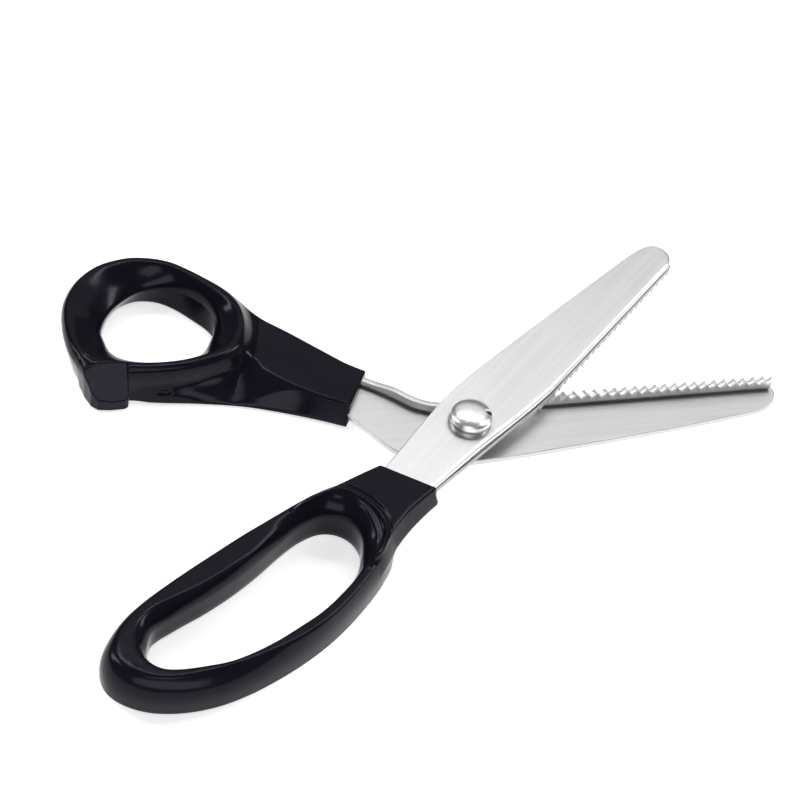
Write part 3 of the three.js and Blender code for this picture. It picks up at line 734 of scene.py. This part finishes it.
# ---------------------------------------------------------------- toothed rails
def rail(outer, inward, up, seam_z, plain_z, x_on, shank_x, shank_z, end_x):
    """A standing rail. outer: path of the outer face from the tip end backwards; up: +1 teeth on top, -1 below."""
    d = np.gradient(outer, axis=0)
    nrm = np.stack([-d[:, 1], d[:, 0]], 1) / np.linalg.norm(d, axis=1)[:, None] * inward
    inner = outer + nrm * RAIL_T
    s = np.concatenate([[0], np.cumsum(np.linalg.norm(np.diff(outer, axis=0), axis=1))])
    ro, ri = np.hypot(*outer.T), np.hypot(*inner.T)
    on = outer[:, 0] >= x_on
    r_hi, r_lo = ro[on][0], ro[on][-1]
    st = [("plain", 0.0)]
    r = TOOTH_R0 + 0.75
    marks = []
    while r < r_hi - 0.2:
        if r > r_lo + 0.2:
            k = int(round((r - TOOTH_R0 - 0.75) / 1.5))
            sign = 1 if k % 2 == 0 else -1
            for dr in (-0.13, 0.0, 0.13):
                marks.append((r + dr, sign * (TOOTH_H - (0.085 if dr else 0.03))))
        r += 1.5
    marks = sorted(marks, reverse=True)
    son, so = s[on], ro[on]
    si_ = ri[on]
    stations = []
    for rr, z in marks:
        a = np.interp(rr, so[::-1], son[::-1])
        b = np.interp(rr, si_[::-1], son[::-1])
        if 0.05 < a < son[-1] and 0.05 < b < son[-1]:
            stations.append((a, b, z, 1))
    tail_s = s[(s > stations[-1][0] + 0.6)]
    stations = [(0, 0, None, 1)] + stations
    first = stations[1]
    kk = ((ro[0] - TOOTH_R0) / TOOTH_PITCH) % 1
    tri = TOOTH_H * (4 * kk if kk < 0.25 else 2 - 4 * kk if kk < 0.75 else 4 * kk - 4)
    stations[0] = (0, 0, tri, 1)
    for t in np.linspace(stations[-1][0] + 0.8, s[-1], 60):
        x = np.interp(t, s, outer[:, 0])
        stations.append((t, t, plain_z(x), 0))
    verts, faces, mats = [], [], []
    b, g = 0.14, 0.55
    sections = []
    for a, c, z, toothed in stations:
        O = np.array([np.interp(a, s, outer[:, 0]), np.interp(a, s, outer[:, 1])])
        NO = np.array([np.interp(a, s, nrm[:, 0]), np.interp(a, s, nrm[:, 1])])
        I = np.array([np.interp(c, s, inner[:, 0]), np.interp(c, s, inner[:, 1])])
        NI = np.array([np.interp(c, s, nrm[:, 0]), np.interp(c, s, nrm[:, 1])])
        # the foot follows the outer station so the wall below the teeth stays upright
        If = np.array([np.interp(a, s, inner[:, 0]), np.interp(a, s, inner[:, 1])])
        zt = z if toothed else z
        zz = zt - 0.15 if toothed else zt
        foot = seam_z
        sec = [
            (O, foot, 2), (O, foot + 0.8, 0), (O, zz - b, 0), (O + NO * 0.04, zz - b * 0.3, 1), (O + NO * b, zz, 1),
            (I - NI * b, zz, 1), (I - NI * 0.04, zz - b * 0.3, 0), (I, zz - b, 0),
            (If, foot + 0.7, 2), (If - NO * g, foot + 0.55, 2), (If - NO * g, foot, 2)]
        sections.append(len(verts))
        for p, h, _ in sec:
            verts.append((p[0], p[1], up * h))
    m = 11
    # face codes: 0 rail steel, 1 cut teeth, 2 painted shade (the outer wall's foot band and the inner foot groove get
    # the near-black seam material)
    code = [2, 0, 1, 1, 1, 1, 1, 0, 2, 2, 0]
    for i in range(len(sections) - 1):
        a, c = sections[i], sections[i + 1]
        for k in range(m):
            l = (k + 1) % m
            faces.append((a + k, a + l, c + l, c + k))
            mats.append(code[k] if (stations[i][3] and stations[i + 1][3]) or code[k] != 1 else 0)
    faces.append(tuple(sections[0] + k for k in range(m))[::-1])
    mats.append(0)
    faces.append(tuple(sections[-1] + k for k in range(m)))
    mats.append(0)
    V = np.array(verts)
    # consistent outward orientation
    tris = [(f[0], f[i], f[i + 1]) for f in faces for i in range(1, len(f) - 1)]
    T = np.array(tris)
    vol = np.sum(np.einsum("ij,ij->i", V[T[:, 0]], np.cross(V[T[:, 1]], V[T[:, 2]])))
    if vol < 0:
        faces = [f[::-1] for f in faces]
    return V, faces, mats


brp = np.vstack([
    np.stack([np.linspace(95.6, 6.5, 180), np.full(180, BACK_EDGE)], 1),
    open_line([[6, BACK_EDGE], [-4.6, 12.7], [-10.9, 14.8], [-16.9, 19.65], [-24.2, 24.75], [-29.0, 27.0]], 60)])
v, f, mm = rail(brp, 1 if True else -1, 1, -3.6, lambda x: -0.15 if x > 5 else -0.45 - 1.0 * min(max((-x - 17.0) / 5.0, 0), 1), 17.5, 4, -0.4, 95.6)
make("back_rail", place(v, BACK_DEG), f, "back_half", "back_toothed_rail", [M_RAIL_B, M_TEETH, M_PAINTED_SHADE], mm, sharp_deg=28)

frp = np.vstack([
    np.stack([np.linspace(93.8, 26.5, 150), np.full(150, -FRONT_EDGE)], 1),
    open_line([[26, -FRONT_EDGE], [19.5, -10.75], [12.3, -9.9], [-9, -7.5], [-22.4, -5.9], [-31.5, -5.2]], 70)])
v, f, mm = rail(frp, -1, -1, -3.6, lambda x: -0.15 if x > 11 else -0.85, 19.0, 10, -0.8, 93.8)
make("front_rail", place(v, FRONT_DEG), f, "front_half", "front_toothed_rail", [M_RAIL_F, M_TEETH, M_PAINTED_SHADE], mm, sharp_deg=28)


# ---------------------------------------------------------------- handles
H = 0.42
lo, hi = (-131.5, -14.0, -7.2), (-25.5, 32.5, 9.6)
v, f, n = surface(finger_field((lo[0] - 1, lo[1] - 1), (hi[0] + 1, hi[1] + 1)), lo, hi, H)


def turn(n, deg):
    a = math.radians(deg)
    return np.stack([n[:, 0] * math.cos(a) - n[:, 1] * math.sin(a), n[:, 0] * math.sin(a) + n[:, 1] * math.cos(a), n[:, 2]], 1)


make("finger_bow", place(v, FRONT_DEG), f, "front_half", "finger_handle", [M_BLACK_F], normals=turn(n, FRONT_DEG))
lo, hi = (-110.5, 9.5, -9.8), (-22.5, 75.5, 5.6)
v, f, n = surface(thumb_field((lo[0] - 1, lo[1] - 1), (hi[0] + 1, hi[1] + 1)), lo, hi, H)
make("thumb_bow", place(v, BACK_DEG), f, "back_half", "thumb_handle", [M_BLACK_T], normals=turn(n, BACK_DEG))

# ---------------------------------------------------------------- pivot
HEAD_Z = PLATE_OUT + 0.65
prof = [(0, -8.4), (2.55, -8.4), (2.7, -8.36), (2.97, -8.1), (3.0, -7.9), (3.0, HEAD_Z), (5.2, HEAD_Z), (5.35, HEAD_Z + 0.05), (6.0, HEAD_Z + 0.45),
        (6.14, HEAD_Z + 0.6), (6.18, HEAD_Z + 0.8), (6.16, HEAD_Z + 1.7), (6.08, HEAD_Z + 1.9), (5.94, HEAD_Z + 2.04)]
for i in range(1, 19):
    t = i / 18 * math.pi / 2
    prof.append((5.94 * math.cos(t), HEAD_Z + 2.04 + 1.86 * math.sin(t)))
prof[-1] = (0, HEAD_Z + 3.9)
v, f = lathe(prof, 120)
# a small staking notch near the rim of the head
rad, ang = np.hypot(v[:, 0], v[:, 1]), np.degrees(np.arctan2(v[:, 1], v[:, 0]))
pit = (v[:, 2] > HEAD_Z + 1.95) & (rad > 4.5) & (rad < 6.1) & (np.abs(ang + 2.0) < 8.5)
v[pit, 2] -= 1.0
side = (rad > 5.3) & (v[:, 2] > HEAD_Z - 0.01) & (v[:, 2] < HEAD_Z + 1.75)
# face materials: 1 paints shade into the pit, 2 paints a dark reflection on the side band of the head
dark = [1 if all(pit[i] for i in q) else 2 if all(side[i] for i in q) else 0 for q in f]
screw = make("screw", place(v, BACK_DEG), f, "back_half", "pivot_screw", [M_SCREW, M_PAINTED_SHADE, M_SCREW_SIDE_PAINTED_DARK], dark, sharp_deg=40)

v, f = lathe([(3.2, PLATE_OUT + 0.16), (3.26, PLATE_OUT + 0.1), (5.66, PLATE_OUT + 0.1), (5.75, PLATE_OUT + 0.18), (5.75, PLATE_OUT + 0.46), (5.66, PLATE_OUT + 0.55), (3.26, PLATE_OUT + 0.55), (3.2, PLATE_OUT + 0.49), (3.2, PLATE_OUT + 0.16)], 96)
make("head_washer_turned", place(v, BACK_DEG), f, "back_half", "head_washer", [M_SCREW], sharp_deg=40)

# hexagon nut with turned chamfers
seg = 96
zt, zb, af = -6.6, -8.6, 4.5
hexr = lambda t: af / math.cos((t + math.pi / 6) % (math.pi / 3) - math.pi / 6)
rings = []
nv, nf = [], []
for r_fn, z_fn in (
        (lambda t: 3.15, lambda t: zb + 0.25), (lambda t: 3.4, lambda t: zb), (lambda t: 4.3, lambda t: zb),
        (lambda t: hexr(t), lambda t: zb + 0.06 + (hexr(t) - 4.3) * 0.6), (lambda t: hexr(t), lambda t: zt - 0.06 - (hexr(t) - 4.3) * 0.35),
        (lambda t: 4.35, lambda t: zt), (lambda t: 3.3, lambda t: zt), (lambda t: 3.15, lambda t: zt - 0.15)):
    s0 = len(nv)
    for i in range(seg):
        t = 2 * math.pi * i / seg
        nv.append((r_fn(t) * math.cos(t), r_fn(t) * math.sin(t), z_fn(t)))
    rings.append(list(range(s0, s0 + seg)))
for a, b in zip(rings, rings[1:] + rings[:1]):
    for i in range(seg):
        j = (i + 1) % seg
        nf.append((a[i], a[j], b[j], b[i]))
make("lock_nut_hex", place(np.array(nv), BACK_DEG), nf, "back_half", "lock_nut", [M_SCREW], sharp_deg=30)

for node, mat in (("pivot_sleeve", M_SCREW), ("spring_washer", M_SCREW), ("front_thrust_washer", M_BRASS), ("back_thrust_washer", M_BRASS)):
    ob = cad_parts[node]
    if not ob.data.materials:
        ob.data.materials.append(mat)
    for sl in ob.material_slots:
        sl.material = mat

# ---------------------------------------------------------------- camera
T, ROLL, DIST, FPX = math.radians(41.128), math.radians(10.122), 674.64, 2375.3
fwd = Vector((0, math.sin(T), -math.cos(T)))
rgt = Vector((1, 0, 0))
upv = rgt.cross(fwd)
r2 = rgt * math.cos(ROLL) + upv * math.sin(ROLL)
u2 = -rgt * math.sin(ROLL) + upv * math.cos(ROLL)
eye = -(r2 * ((466.88 - 400) / FPX * DIST) + u2 * (-(434.10 - 400) / FPX * DIST) + fwd * DIST)
eye = (eye + Vector(PIVOT)) / 1000.0
cam = bpy.data.cameras.new("camera")
cam.sensor_width = 36
cam.lens = FPX / 800 * 36
cam.clip_start, cam.clip_end = 0.01, 20
co = bpy.data.objects.new("camera", cam)
bpy.context.scene.collection.objects.link(co)
co.matrix_world = Matrix(((r2.x, u2.x, -fwd.x, eye.x), (r2.y, u2.y, -fwd.y, eye.y), (r2.z, u2.z, -fwd.z, eye.z), (0, 0, 0, 1)))
bpy.context.scene.camera = co

# ---------------------------------------------------------------- floor, light
bm = bmesh.new()
bmesh.ops.create_grid(bm, x_segments=8, y_segments=8, size=3.0)
fm = bpy.data.meshes.new("floor")
bm.to_mesh(fm)
bm.free()
floor = bpy.data.objects.new("floor", fm)
floor.location = (0, 0, -0.0002)
bpy.context.scene.collection.objects.link(floor)
m, nt, bs = nodes_of("floor_paper")
bs.inputs["Base Color"].default_value = (0.93, 0.93, 0.93, 1)
bs.inputs["Roughness"].default_value = 0.9
bs.inputs["Specular IOR Level"].default_value = 0.1
bs.inputs["Emission Color"].default_value = (1, 1, 1, 1)
bs.inputs["Emission Strength"].default_value = 0.58
fm.materials.append(m)


def softbox(name, loc, target, size, power, color=(1, 1, 1)):
    l = bpy.data.lights.new(name, "AREA")
    l.shape = "RECTANGLE"
    l.size, l.size_y = size
    l.energy = power
    l.color = color
    o = bpy.data.objects.new(name, l)
    o.location = loc
    o.rotation_euler = (Vector(target) - Vector(loc)).to_track_quat("-Z", "Y").to_euler()
    bpy.context.scene.collection.objects.link(o)
    return o


softbox("key_back", (0.05, 1.00, 1.20), (0, 0.0, 0), (1.7, 1.1), 3.8)
softbox("hot_back", (0.0, 0.62, 1.38), (0, 0, 0), (1.3, 0.12), 5.0)
softbox("front_fill", (0.05, -0.80, 1.30), (0, 0, 0), (0.6, 0.5), 2.6)
softbox("front_low", (0.15, -1.35, 0.60), (0, 0, 0), (1.5, 0.55), 7.0)
softbox("right_strip", (1.00, 0.30, 0.80), (0, 0, 0), (0.22, 0.9), 5.5)
softbox("left_strip", (-1.00, 0.10, 0.80), (0, 0, 0), (0.22, 0.9), 5.0)

world = bpy.data.worlds.new("studio")
world.use_nodes = True
bg = world.node_tree.nodes["Background"]
bg.inputs[0].default_value = (1, 1, 1, 1)
bg.inputs[1].default_value = 0.15
bpy.context.scene.world = world
bpy.context.scene.view_settings.view_transform = "Standard"
bpy.context.scene.view_settings.look = "None"

bpy.context.view_layer.update()
